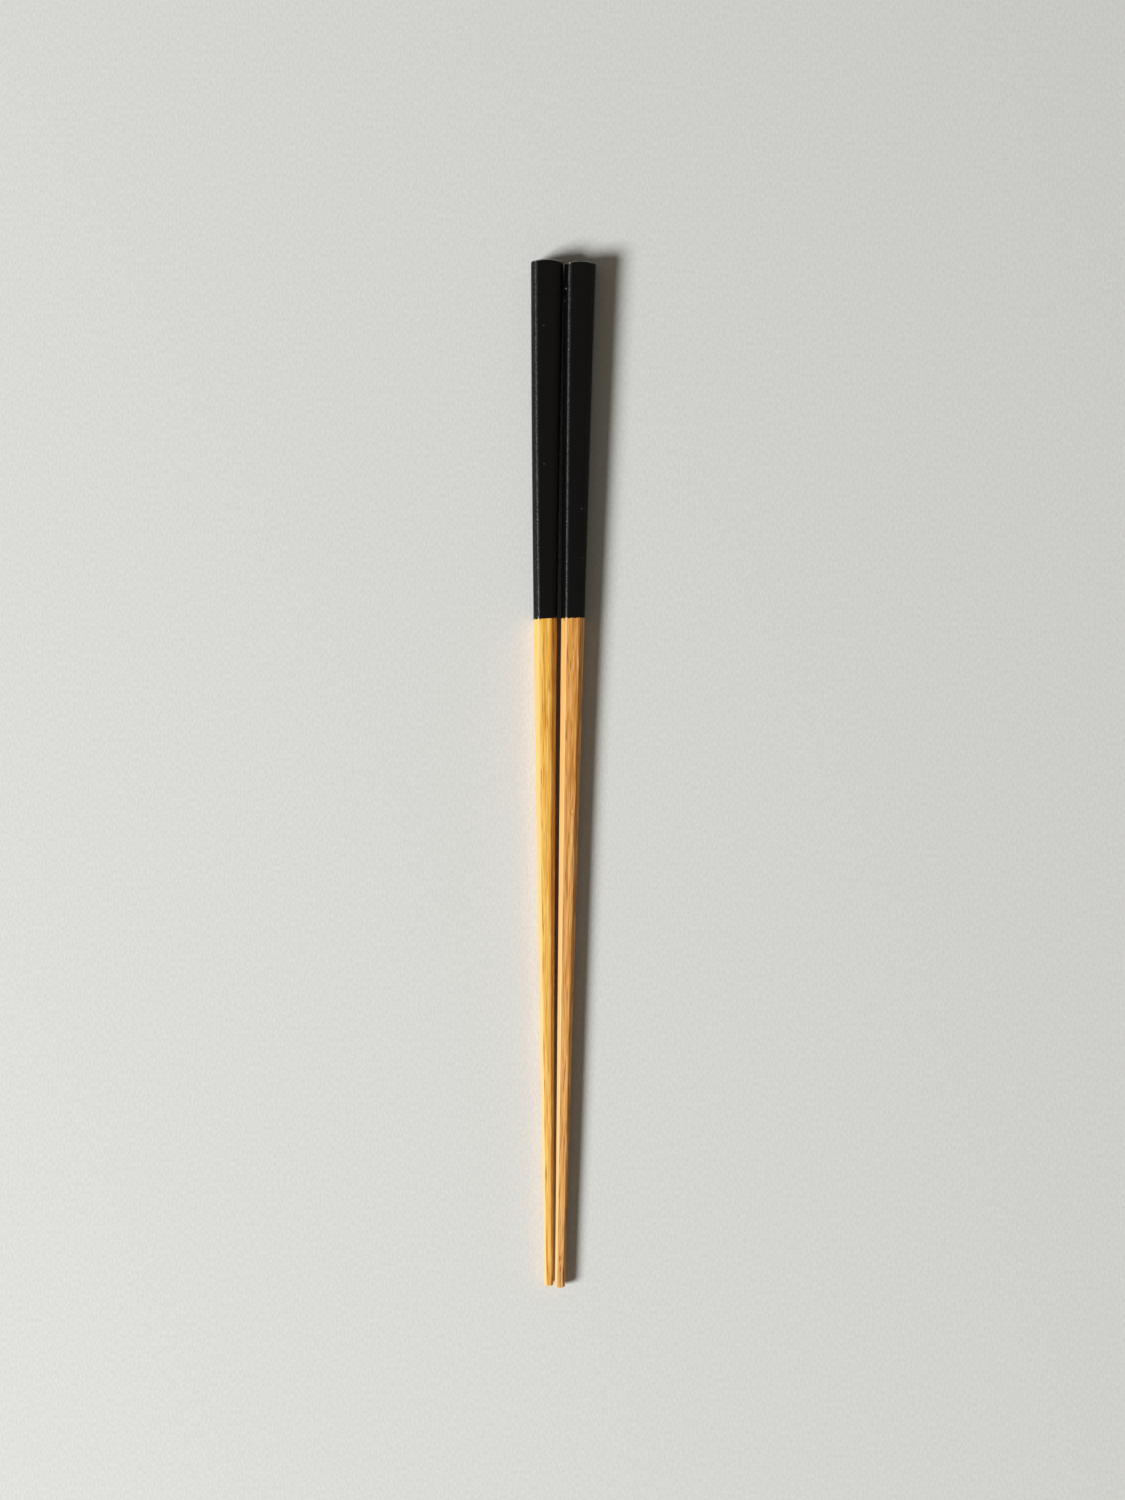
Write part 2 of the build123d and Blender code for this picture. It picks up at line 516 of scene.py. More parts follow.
    def shape_section(self) -> None:
        """Place the cell on the rounded eight-sided section: along a crowned face, then round a corner."""
        self.reach_of_sides()
        self.work_out(("table", "ADD", "lacquer thickness", "inset"))
        self.sink_between_fibres()
        self.work_out(
            ("core", "SUBTRACT", "reach", "softening"),
            ("cosine", "COSINE", "turn after"),
            ("sine", "SINE", "turn after"),
            ("overlap", "MULTIPLY", "core", "cosine"),
            ("ahead", "SUBTRACT", "reach after", "softening"),
            ("ahead", "SUBTRACT", "ahead", "overlap"),
            ("ahead", "DIVIDE", "ahead", "sine"),
            ("cosine", "COSINE", "turn before"),
            ("sine", "SINE", "turn before"),
            ("overlap", "MULTIPLY", "core", "cosine"),
            ("behind", "SUBTRACT", "reach before", "softening"),
            ("behind", "SUBTRACT", "overlap", "behind"),
            ("behind", "DIVIDE", "behind", "sine"),
            ("face length", "SUBTRACT", "ahead", "behind"),
            ("sagitta", "MULTIPLY", "face length", "face length"),
            ("sagitta", "DIVIDE", "sagitta", "crown divisor"),
            ("off middle", "MULTIPLY_ADD", "along face", 2.0, -1.0),
            ("off middle", "MULTIPLY", "off middle", "off middle"),
            ("swell", "SUBTRACT", 1.0, "off middle"),
            ("bulge", "MULTIPLY", "swell", "sagitta"),
            ("planed", "COMPARE", "side", float(self.planed_side), 0.5),
            ("crowned", "SUBTRACT", 1.0, "planed"),
            ("bulge", "MULTIPLY", "bulge", "crowned"),
            ("corner radius", "SUBTRACT", "softening", "inset"),
            ("corner turn", "MULTIPLY", "round corner", "turn after"),
            ("corner out", "COSINE", "corner turn"),
            ("corner on", "SINE", "corner turn"),
            ("out", "MULTIPLY_ADD", "corner out", "corner radius", "core"),
            ("out", "ADD", "out", "bulge"),
            ("on", "MULTIPLY_ADD", "face length", "along face", "behind"),
            ("on", "MULTIPLY_ADD", "corner on", "corner radius", "on"),
            ("facing x", "COSINE", "facing"),
            ("facing z", "SINE", "facing"),
            ("across", "MULTIPLY", "out", "facing x"),
            ("on x", "MULTIPLY", "on", "facing z"),
            ("across", "SUBTRACT", "across", "on x"),
            ("up", "MULTIPLY", "out", "facing z"),
            ("up", "MULTIPLY_ADD", "on", "facing x", "up"),
            ("table", "SUBTRACT", "table", "middle z"),
            ("up", "MAXIMUM", "up", "table"),
            ("across", "MULTIPLY", "across", "squeeze"),
            ("up", "MULTIPLY", "up", "squeeze"),
        )

    def dome_ends(self) -> None:
        """Move each ring along the stick so that the two end faces are shallow domes."""
        self.work_out(
            ("off axis", "MULTIPLY", "across", "across"),
            ("off axis", "MULTIPLY_ADD", "up", "up", "off axis"),
            ("from tip", "SUBTRACT", "stick length", "station"),
        )
        for end, distance in (("butt", "station"), ("tip", "from tip")):
            radius = end + " dome radius"
            self.work_out(
                ("drop", "MULTIPLY", radius, radius),
                ("drop", "SUBTRACT", "drop", "off axis"),
                ("drop", "SQRT", "drop"),
                ("drop", "SUBTRACT", radius, "drop"),
                ("near end", "SHARE", distance, self.end_fade, 0.0),
                (end + " drop", "MULTIPLY", "drop", "near end"),
            )
        self.work_out(
            ("station", "ADD", "station", "butt drop"),
            ("station", "SUBTRACT", "station", "tip drop"),
        )

    def finish_form(self) -> None:
        """Give the grid its place, close its seam and poles, and dress it."""
        self.dome_ends()
        self.work_out(
            ("x", "ADD", "middle x", "across"),
            ("y", "SUBTRACT", "butt y", "station"),
            ("z", "ADD", "middle z", "up"),
        )
        self.keep("ShaderNodeCombineXYZ", {0: "x", 1: "y", 2: "z"}, ("place",))
        self.keep("ShaderNodeVectorMath", {0: "place", "Scale": MM}, ("place",), operation="SCALE")
        self.keep("ShaderNodeCombineXYZ", {0: "across", 1: "station", 2: "up"}, ("place in stick",))
        for attribute, value, form in ((GRAIN, "place in stick", "grid"), (CUT, "shares", "form")):
            self.keep(
                "GeometryNodeStoreNamedAttribute",
                {"Geometry": form, "Name": attribute, "Value": value},
                ("form",),
                data_type="FLOAT_VECTOR",
                domain="POINT",
            )
        self.keep("GeometryNodeSetPosition", {"Geometry": "form", "Position": "place"}, ("form",))
        self.keep(
            "GeometryNodeMergeByDistance", {"Geometry": "form", "Distance": self.merge_distance}, ("form",)
        )
        self.keep("GeometryNodeSetShadeSmooth", {"Geometry": "form"}, ("form",))
        self.keep("GeometryNodeRealizeInstances", {"Geometry": "form"}, ("form",))
        self.keep("GeometryNodeSetMaterial", {"Geometry": "form", "Material": "finish"}, ("form",))
        add_node(self.tree, "NodeGroupOutput", {0: self.values["form"]})

    def sweep(
        self, name: str, rings: list[ProfilePoint], sizes: dict[str, float], finish: bpy.types.Material
    ) -> bpy.types.Object:
        """Make a plain mesh object by sweeping the section along the rings.

        Args:
            name: The new object's name.
            rings: The rings in order, from pole to pole.
            sizes: The values of the tree's named inputs, in millimetres.
            finish: The material of the whole form.

        Returns:
            The object, at the origin, with its place in its mesh.
        """
        mesh = bpy.data.meshes.new(name + "_rings")
        mesh.from_pydata([(r.station, r.inset, r.squeeze) for r in rings], [], [])
        piece = bpy.data.objects.new(name, mesh)
        bpy.context.scene.collection.objects.link(piece)
        modifier = piece.modifiers.new("sweep", "NODES")
        modifier.node_group = self.tree
        for size, value in sizes.items():
            modifier[self.sockets[size]] = float(value)
        modifier[self.sockets["finish"]] = finish
        depsgraph = bpy.context.evaluated_depsgraph_get()
        form = bpy.data.meshes.new_from_object(piece.evaluated_get(depsgraph), depsgraph=depsgraph)
        form.name = name
        piece.modifiers.clear()
        piece.data = form
        bpy.data.meshes.remove(mesh)
        return piece


@dataclass(frozen=True)
class Mark:
    """A small mark on one stick: a soft-edged spot, usually drawn out along the grain.

    Attributes:
        across: How far its middle lies to the right of the stick's, in millimetres.
        station: Distance of its middle from the butt, in millimetres.
        up: Height of its middle above the stick's, in millimetres.
        width: Its size across the grain, in millimetres.
        length: Its size along the grain, in millimetres.
        colour: Its colour.
        strength: How much it hides of the finish around it, from 0 to 1.
    """

    across: float
    station: float
    up: float
    width: float
    length: float
    colour: str
    strength: float


def draw_marks(
    tree: bpy.types.NodeTree,
    grain: bpy.types.NodeSocket,
    colour: bpy.types.NodeSocket,
    marks: tuple[Mark, ...],
) -> bpy.types.NodeSocket:
    """Lay marks over a colour, each over the one before.

    Args:
        tree: The material's node tree.
        grain: Place in the stick, in millimetres.
        colour: The colour below the marks.
        marks: The marks.

    Returns:
        The colour with the marks on it.
    """
    for mark in marks:
        scale = Vector((2 / mark.width, 2 / mark.length, 2 / MARK_DEPTH))
        middle = Vector((mark.across, mark.station, mark.up)) * scale
        place = add_node(tree, "ShaderNodeMapping", {"Vector": grain, "Location": -middle, "Scale": scale})
        away = add_node(tree, "ShaderNodeVectorMath", {0: place.outputs[0]}, operation="LENGTH")
        share = add_node(
            tree, "ShaderNodeMapRange", {0: away.outputs["Value"], 1: 1.0, 2: 0.35, 4: mark.strength}
        )
        mixed = {0: share.outputs[0], 6: colour, 7: linear(mark.colour)}
        colour = add_node(tree, "ShaderNodeMix", mixed, data_type="RGBA").outputs[2]
    return colour


def start_material(name: str) -> tuple[bpy.types.Material, bpy.types.NodeTree]:
    """Make an empty material.

    Args:
        name: The material's name.

    Returns:
        The material and its node tree.
    """
    material = bpy.data.materials.new(name)
    material.use_nodes = True
    material.node_tree.nodes.clear()
    return material, material.node_tree


@dataclass(frozen=True)
class BambooFinish:
    """Split bamboo, planed along its fibres and oiled: satin, with long streaks along the grain.

    The real fibre bundles are about a quarter of a millimetre apart. They are drawn a little
    coarser, or they wouldn't show in the picture.

    Attributes:
        name: The material's name.
        body: The colour of most of the wood.
        deep: The colour of its deeper bands.
        pale: The colour of its pale fibres.
        dark: The colour of its dark fibres.
        streak: The brown of the fibre bundles that the plane has cut open.
        tip: The paler colour towards the tip, which is handled least.
        worn: The clearer colour of the left part of the top: painted light from the lamp on the left.
        side: The redder colour of the right side: painted shade, for the side turned away from the lamp.
        facet: The cream of the upper left facet, which faces the lamp: a painted sheen, laid on the left
            side too.
        cream: The same painted sheen's colour at the tip.
        edge: The colour of the painted highlight on the edge beside that facet.
        arris: The brown of the edge on the right: painted shade. The two upright sides have it
        too, as painted shade: little of their light falls on the paper beside them.
        worn_share: How strongly the painted light on the left of the top shows.
        side_share: How strongly the right side's colour shows.
        facet_share: How strongly the facet's colour shows.
        edge_share: How strongly the left edge's colour shows at the tip.
        arris_share: How strongly the right edge's brown shows.
        streak_start: The level of the pattern from which the cut bundles show, lower for more.
        seed: Moves the pattern, so that the two sticks differ.
        marks: The marks on this stick.
        roughness: Satin, as planed and oiled bamboo is.
        ior: That of a drying oil, roughly.
        band_width: Size of the deeper bands across the grain, in millimetres.
        band_length: Size of the deeper bands along the grain.
        fibre_width: Size of a pale or dark fibre across the grain.
        fibre_length: Size of a pale or dark fibre along the grain.
        fibre_depth: Height of the fibres in the relief.
        fibre_strength: How strongly that relief shows, from 0 to 1.
        bundle_width: Size of a cut bundle across the grain.
        bundle_length: Size of a cut bundle along the grain.
        tip_share: How strongly the tip's colour shows.
        flank_share: How strongly the brown of the upright sides shows.
        paling: Stations between which the top pales towards the tip.
        right_lag: How much further towards the tip the right side pales.
        edge_paling: Stations between which the left edge and facet turn creamy.
        edge_start: How much of that cream they have before the first station, from 0 to 1.
    """

    name: str
    body: str
    deep: str
    pale: str
    dark: str
    streak: str
    tip: str
    worn: str
    side: str
    facet: str
    cream: str
    edge: str
    arris: str
    worn_share: float
    side_share: float
    facet_share: float
    edge_share: float
    arris_share: float
    streak_start: float
    seed: float
    marks: tuple[Mark, ...] = ()
    roughness: float = 0.42
    ior: float = 1.5
    band_width: float = 1.6
    band_length: float = 50.0
    fibre_width: float = 0.29
    fibre_length: float = 12.0
    bundle_width: float = 0.28
    bundle_length: float = 7.0
    tip_share: float = 0.7
    flank_share: float = 0.6
    fibre_depth: float = 0.02
    fibre_strength: float = 0.6
    paling: tuple[float, float] = (95.0, 185.0)
    right_lag: float = 90.0
    edge_paling: tuple[float, float] = (85.0, 195.0)
    edge_start: float = 0.4

    def material(self) -> bpy.types.Material:
        """Build the material.

        Returns:
            The material, which reads the grain and cut attributes.
        """
        material, tree = start_material(self.name)
        add = partial(add_node, tree)
        grain = add("ShaderNodeAttribute", attribute_name=GRAIN).outputs["Vector"]
        cut = add("ShaderNodeAttribute", attribute_name=CUT).outputs["Vector"]
        facet, left_edge, right_edge = add("ShaderNodeSeparateXYZ", {0: cut}).outputs
        place = add("ShaderNodeSeparateXYZ", {0: grain}).outputs
        section = add("ShaderNodeCombineXYZ", {0: place["X"], 2: place["Z"]}).outputs[0]
        outwards = add("ShaderNodeVectorMath", {0: section}, operation="NORMALIZE").outputs[0]
        easting = add("ShaderNodeSeparateXYZ", {0: outwards}).outputs["X"]
        sideways = add("ShaderNodeMath", {0: easting}, operation="ABSOLUTE").outputs[0]
        lag = add("ShaderNodeMapRange", {0: easting, 1: 0.45, 2: 0.70, 4: -self.right_lag}).outputs[0]
        towards_tip = add("ShaderNodeMath", {0: place["Y"], 1: lag}, operation="ADD").outputs[0]
        first, last = self.edge_paling
        cream = {0: place["Y"], 1: first, 2: last, 3: self.edge_start}
        paling = add("ShaderNodeMapRange", cream).outputs[0]
        # Painted highlight on the edge beside the upper left facet, and painted sheen on the facet, both
        # growing towards the tip
        rubbed = add("ShaderNodeMath", {0: left_edge, 1: paling}, operation="MULTIPLY").outputs[0]
        creamy = add("ShaderNodeMath", {0: facet, 1: paling}, operation="MULTIPLY").outputs[0]
        bands = self.stretched(tree, grain, self.band_width, self.band_length, 2.0)
        fibres = self.stretched(tree, grain, self.fibre_width, self.fibre_length, 2.0)
        bundles = self.stretched(tree, grain, self.bundle_width, self.bundle_length, 1.0)
        # Painted shade along the right edge, broken up by the fibres
        brown = add("ShaderNodeMath", {0: right_edge, 1: fibres}, operation="ADD").outputs[0]
        # Each layer's colour, the pattern that places it, the level where it starts, the level
        # where it is whole, and how much it then hides of the layers below
        layers = (
            (self.body, bands, 0.36, 0.60, 1.0),
            # Painted light: the left part of the top is lighter, on the lamp's side
            (self.worn, easting, 0.35, -0.45, self.worn_share),
            # Painted shade: the right side turns redder, as it does away from the lamp
            (self.side, easting, 0.50, 0.78, self.side_share),
            # Painted sheen: the facet's cream laid on the left side, which faces the lamp
            (self.facet, easting, -0.80, -0.96, 0.6),
            (self.tip, towards_tip, *self.paling, self.tip_share),
            # Painted shade on both upright sides, which also keeps them from lighting the paper
            (self.arris, sideways, 0.84, 0.95, self.flank_share),
            # Painted shade along the right edge
            (self.arris, brown, 0.98, 1.46, self.arris_share),
            (self.pale, fibres, 0.50, 0.66, 0.9),
            (self.dark, fibres, 0.49, 0.34, 0.9),
            (self.streak, bundles, self.streak_start, self.streak_start + 0.10, 0.75),
            # Painted sheen on the upper left facet, creamier towards the tip
            (self.facet, facet, 0.0, 1.0, self.facet_share),
            (self.cream, creamy, 0.4, 1.0, self.facet_share),
            # Painted highlight along the edge beside the upper left facet
            (self.edge, rubbed, 0.0, 1.0, self.edge_share),
        )
        colour = linear(self.deep)
        for layer, pattern, start, end, most in layers:
            share = add("ShaderNodeMapRange", {0: pattern, 1: start, 2: end, 4: most}).outputs[0]
            mixed = {0: share, 6: colour, 7: linear(layer)}
            colour = add("ShaderNodeMix", mixed, data_type="RGBA").outputs[2]
        colour = draw_marks(tree, grain, colour, self.marks)
        depth = self.fibre_depth * MM
        relief = add(
            "ShaderNodeBump", {"Height": fibres, "Distance": depth, "Strength": self.fibre_strength}
        )
        surface = {
            "Base Color": colour,
            "Roughness": self.roughness,
            "IOR": self.ior,
            "Normal": relief.outputs[0],
        }
        shader = add("ShaderNodeBsdfPrincipled", surface)
        add("ShaderNodeOutputMaterial", {0: shader.outputs[0]})
        return material

    def stretched(
        self,
        tree: bpy.types.NodeTree,
        grain: bpy.types.NodeSocket,
        across: float,
        along: float,
        detail: float,
    ) -> bpy.types.NodeSocket:
        """Add noise that is drawn out along the grain.

        Args:
            tree: The material's node tree.
            grain: Place in the stick, in millimetres, with the length second.
            across: Size of the pattern across the grain, in millimetres.
            along: Size of the pattern along the grain, in millimetres.
            detail: How many finer layers the pattern has.

        Returns:
            The noise, from 0 to 1.
        """
        scale = Vector((1 / across, 1 / along, 1 / across))
        shift = Vector((self.seed, self.seed, self.seed))
        place = add_node(tree, "ShaderNodeMapping", {"Vector": grain, "Location": shift, "Scale": scale})
        noise = {"Vector": place.outputs[0], "Scale": 1.0, "Detail": detail, "Roughness": 0.6}
        return add_node(tree, "ShaderNodeTexNoise", noise).outputs[0]


@dataclass(frozen=True)
class LacquerFinish:
    """Black lacquer, dipped and rubbed to a satin: deep black, with a soft line of light on its edges.

    The orange peel of the dipped coat breaks that line up into beads. It is drawn steeper than it
    is, or the beads wouldn't show in the picture.

    Attributes:
        name: The material's name.
        colour: The lacquer's own black.
        rubbed: The grey painted along the upper left edge as a highlight.
        marks: The dust that settled in it, the rim where the wood shows through, and a painted glint on a
            corner of the rim.
        roughness: Satin, between a polished and a matt lacquer.
        ior: That of a hard lacquer.
        ripple_width: Size of the brush-like ripple across the handle, in millimetres.
        ripple_length: Size of the ripple along the handle.
        ripple_height: Height of the ripple.
        peel_size: Size of the orange peel.
        peel_height: Height of the orange peel.
        beads: Levels of the peel between which the painted highlight on the edge goes from faintest to
            strongest.
        least_worn: How much of the grey shows where the painted highlight is faintest, from 0 to 1.
    """

    name: str
    colour: str = "#040405"
    rubbed: str = "#48494c"
    marks: tuple[Mark, ...] = ()
    roughness: float = 0.22
    ior: float = 1.48
    ripple_width: float = 0.6
    ripple_length: float = 20.0
    ripple_height: float = 0.012
    peel_size: float = 0.45
    peel_height: float = 0.06
    beads: tuple[float, float] = (0.38, 0.62)
    least_worn: float = 0.35

    def material(self) -> bpy.types.Material:
        """Build the material.

        Returns:
            The material, which reads the grain and cut attributes.
        """
        material, tree = start_material(self.name)
        add = partial(add_node, tree)
        grain = add("ShaderNodeAttribute", attribute_name=GRAIN).outputs["Vector"]
        across, along = 1 / self.ripple_width, 1 / self.ripple_length
        place = add("ShaderNodeMapping", {"Vector": grain, "Scale": (across, along, across)}).outputs[0]
        ripple = add("ShaderNodeTexNoise", {"Vector": place, "Scale": 1.0, "Detail": 2.0}).outputs[0]
        peel = add("ShaderNodeTexNoise", {"Vector": grain, "Scale": 1 / self.peel_size, "Detail": 1.0})
        rippled = add("ShaderNodeBump", {"Height": ripple, "Distance": self.ripple_height * MM})
        relief = add(
            "ShaderNodeBump",
            {"Height": peel.outputs[0], "Distance": self.peel_height * MM, "Normal": rippled.outputs[0]},
        )
        cut = add("ShaderNodeAttribute", attribute_name=CUT).outputs["Vector"]
        edge = add("ShaderNodeSeparateXYZ", {0: cut}).outputs["Y"]
        low, high = self.beads
        peeling = {0: peel.outputs[0], 1: low, 2: high, 3: self.least_worn}
        beads = add("ShaderNodeMapRange", peeling).outputs[0]
        # Painted highlight: a grey laid along the upper left edge and broken into beads by the peel
        worn = add("ShaderNodeMath", {0: edge, 1: beads}, operation="MULTIPLY").outputs[0]
        mixed = {0: worn, 6: linear(self.colour), 7: linear(self.rubbed)}
        black = add("ShaderNodeMix", mixed, data_type="RGBA").outputs[2]
        surface = {
            "Base Color": draw_marks(tree, grain, black, self.marks),
            "Roughness": self.roughness,
            "IOR": self.ior,
            "Normal": relief.outputs[0],
        }
        shader = add("ShaderNodeBsdfPrincipled", surface)
        add("ShaderNodeOutputMaterial", {0: shader.outputs[0]})
        return material


@dataclass(frozen=True)
class PaperFinish:
    """Uncoated drawing paper: pale, dull, with a fine tooth that is drawn out along the sheet.

    Away from the chopsticks the camera sees it run into the backdrop, as a paper sweep does.

    Attributes:
        name: The material's name.
        colour: The colour of the tooth's heights.
        shade: The colour of its hollows.
        tooth_width: Size of the tooth across the sheet, in millimetres. The real one is finer.
        tooth_length: Size of the tooth along the sheet.
        tooth_depth: Height of the tooth.
        roughness: Dull, as uncoated paper is.
        ior: Low, so that the paper hardly shines.
        backdrop: The colour that the camera sees far away.
        sweep_start: Distance from the chopsticks at which the backdrop begins, in metres.
        sweep_end: Distance from which the backdrop is all that the camera sees.
    """

    name: str = "uncoated_paper"
    colour: str = "#dfdedb"
    shade: str = "#d2d1ce"
    tooth_width: float = 0.45
    tooth_length: float = 0.9
    tooth_depth: float = 0.03
    roughness: float = 0.9
    ior: float = 1.4
    backdrop: str = "#d8d8d3"
    sweep_start: float = 0.24
    sweep_end: float = 0.75

    def material(self) -> bpy.types.Material:
        """Build the material.

        Returns:
            The material, which reads Object coordinates.
        """
        material, tree = start_material(self.name)
        add = partial(add_node, tree)
        sheet = add("ShaderNodeTexCoord").outputs["Object"]
        across, along = 1 / (self.tooth_width * MM), 1 / (self.tooth_length * MM)
        place = add("ShaderNodeMapping", {"Vector": sheet, "Scale": (across, along, across)}).outputs[0]
        tooth = add("ShaderNodeTexNoise", {"Vector": place, "Scale": 1.0, "Detail": 3.0}).outputs[0]
        share = add("ShaderNodeMapRange", {0: tooth, 1: 0.3, 2: 0.7}).outputs[0]
        mixed = {0: share, 6: linear(self.shade), 7: linear(self.colour)}
        colour = add("ShaderNodeMix", mixed, data_type="RGBA").outputs[2]
        depth = self.tooth_depth * MM
        relief = add("ShaderNodeBump", {"Height": tooth, "Distance": depth, "Strength": 0.5}).outputs[0]
        surface = {"Base Color": colour, "Roughness": self.roughness, "IOR": self.ior, "Normal": relief}
        shader = add("ShaderNodeBsdfPrincipled", surface)
        distance = add("ShaderNodeVectorMath", {0: sheet}, operation="LENGTH").outputs["Value"]
        sweep = {0: distance, 1: self.sweep_start, 2: self.sweep_end}
        away = add("ShaderNodeMapRange", sweep, interpolation_type="SMOOTHSTEP").outputs[0]
        seen = add("ShaderNodeLightPath").outputs["Is Camera Ray"]
        share = add("ShaderNodeMath", {0: away, 1: seen}, operation="MULTIPLY").outputs[0]
        backdrop = add("ShaderNodeEmission", {0: linear(self.backdrop), 1: 1.0})
        both = add("ShaderNodeMixShader", {0: share, 1: shader.outputs[0], 2: backdrop.outputs[0]})
        add("ShaderNodeOutputMaterial", {0: both.outputs[0]})
        return material


@dataclass(frozen=True)
class Chopstick:
    """One chopstick: the stick of bamboo and the lacquer on its handle. Sizes are in millimetres.

    Attributes:
        side: Which of the two it is.
        whittling: The sizes that both share.
        widths: Its own widths.
        place: Where it lies.
        bow: How far it bows to the left.
        dip_tilt: How far the lacquer's edge is out of square, in degrees.
        dip_set_back: How far the lacquer stops short on the upper left edge.
        dip_creep: How much further down the stick the lacquer crept all round.
        seed: Sets the wander of the lacquer's edge and the ridges of the fibres.
        ring_spacing: Spacing of the bare stick's rings.
        coat_ring_spacing: Spacing of the lacquer's rings.
        rim_rings: Steps round a rounded rim.
        cap_rings: Rings between an end face's pole and its rim.
        end_clearance: How far an end stays inside the solid's, whose dome is a little flatter.
        fibre_relief: Depth of the grooves between the fibres. The lacquer fills half of it.
        dip_waver: Full range of the wander of the lacquer's edge.
    """

    side: Side
    whittling: Whittling
    widths: Widths
    place: Place
    bow: float
    dip_tilt: float
    dip_set_back: float
    dip_creep: float
    seed: float
    ring_spacing: float = 1.0
    coat_ring_spacing: float = 0.8
    rim_rings: int = 5
    cap_rings: int = 6
    end_clearance: float = 0.012
    fibre_relief: float = 0.03
    dip_waver: float = 1.0

    def sizes(self) -> dict[str, float]:
        """Give the tree's named inputs their values for the bare stick.

        Returns:
            Each input's value, in millimetres where it is a length.
        """
        w = self.whittling
        sizes = {
            "stick length": w.stick_length,
            "handle length": w.handle_length,
            "nose start": w.nose_start,
            "warp start": w.warp_start,
            "butt width": self.widths.butt,
            "handle taper": self.widths.collar - self.widths.butt,
            "shaft taper": self.widths.nose - self.widths.collar,
            "nose taper": self.widths.tip - self.widths.nose,
            "butt edge radius": w.butt_edge_radius,
            "edge radius change": w.tip_edge_radius - w.butt_edge_radius,
            "crown divisor": 8 * w.face_crown_radius,
            "left facet tilt": radians(w.left_facet_tilt),
            "right facet tilt": radians(w.right_facet_tilt),
            "butt dome radius": w.butt_dome_radius,
            "tip dome radius": w.tip_dome_radius,
            "tip rise": w.tip_rise,
            "planed off": w.planed_off,
            "lacquer thickness": w.lacquer_thickness,
            "deepest share": w.deepest_bow / w.stick_length,
            "bow": self.bow,
            "butt x": self.place.butt_x,
            "lean": self.place.tip_x - self.place.butt_x,
            "butt y": self.place.butt_y,
            "seed": self.seed,
            "fibre relief": self.fibre_relief,
            "dip slant": 0.0,
            "dip waver": 0.0,
            "dip set back": 0.0,
            "dip creep": 0.0,
        }
        for facet, (butt, collar, tip) in w.facets().items():
            sizes[facet.value] = butt
            sizes[facet.value + " on handle"] = collar - butt
            sizes[facet.value + " on shaft"] = tip - collar
        return sizes

    def coat_sizes(self) -> dict[str, float]:
        """Give the tree's named inputs their values for the lacquer, whose lower edge slants and wavers.

        Returns:
            Each input's value, in millimetres where it is a length.
        """
        return self.sizes() | {
            "dip slant": tan(radians(self.dip_tilt)) * self.widths.collar / 2,
            "dip waver": self.dip_waver,
            "dip set back": self.dip_set_back,
            "dip creep": self.dip_creep,
            "fibre relief": self.fibre_relief / 2,
        }

    def spaced(self, start: float, end: float, spacing: float) -> list[float]:
        """Evenly spaced stations from start to end, both included."""
        count = max(1, round(abs(end - start) / spacing))
        return [start + (end - start) * i / count for i in range(count + 1)]

    def quarter_turn(self, first: int = 0) -> list[float]:
        """Angles of the rings round a rim, from the first step to a quarter turn."""
        return [pi / 2 * i / self.rim_rings for i in range(first, self.rim_rings + 1)]

    def butt_rings(self, start: float, inset: float, rim: float) -> list[ProfilePoint]:
        """Rings from the pole of the butt's end face out to its rim and round it.

        Args:
            start: Station of the end face's pole.
            inset: Inset of the side surface that the rim runs into.
            rim: Radius of the rounded rim.

        Returns:
            The rings, of which the last is on the side surface.
        """
        face = [ProfilePoint(start, inset + rim, i / self.cap_rings) for i in range(self.cap_rings)]
        round_rim = [
            ProfilePoint(start + rim * (1 - cos(t)), inset + rim * (1 - sin(t)))
            for t in self.quarter_turn()
        ]
        return face + round_rim

    def tip_rings(self) -> list[ProfilePoint]:
        """Rings round the tip's rim and in to the pole of its end face.

        Returns:
            The rings, of which the first is on the side surface.
        """
        end, rim = self.whittling.stick_length - self.end_clearance, self.whittling.tip_rim_radius
        round_rim = [
            ProfilePoint(end - rim * (1 - sin(t)), rim * (1 - cos(t))) for t in self.quarter_turn()
        ]
        face = [ProfilePoint(end, rim, i / self.cap_rings) for i in range(self.cap_rings)]
        return round_rim + face[::-1]

    def stick_rings(self) -> list[ProfilePoint]:
        """All the rings of the bare stick.

        Returns:
            The rings, from the butt's pole to the tip's.
        """
        w = self.whittling
        start = w.lacquer_thickness + self.end_clearance
        butt = self.butt_rings(start, 0.0, w.butt_rim_radius - w.lacquer_thickness)
        tip = self.tip_rings()
        shaft = self.spaced(butt[-1].station, tip[0].station, self.ring_spacing)[1:-1]
        return butt + [ProfilePoint(s, 0.0) for s in shaft] + tip

    def coat_rings(self) -> list[ProfilePoint]:
        """All the rings of the lacquer: out over the butt, down to its edge and back inside.

        Returns:
            The rings, from the outer pole to the inner one.
        """
        w = self.whittling
        thickness = w.lacquer_thickness
        outside = self.butt_rings(self.end_clearance, -thickness, w.butt_rim_radius)
        inside = self.butt_rings(thickness, 0.0, w.butt_rim_radius - thickness)[::-1]
        handle = self.spaced(outside[-1].station, w.handle_length, self.coat_ring_spacing)[1:]
        edge = [
            ProfilePoint(w.handle_length + thickness * sin(t), -thickness * cos(t))
            for t in self.quarter_turn(1)
        ]
        back = self.spaced(edge[-1].station, inside[0].station, self.coat_ring_spacing)[1:-1]
        return (
            outside
            + [ProfilePoint(s, -thickness) for s in handle]
            + edge
            + [ProfilePoint(s, 0.0) for s in back]
            + inside
        )

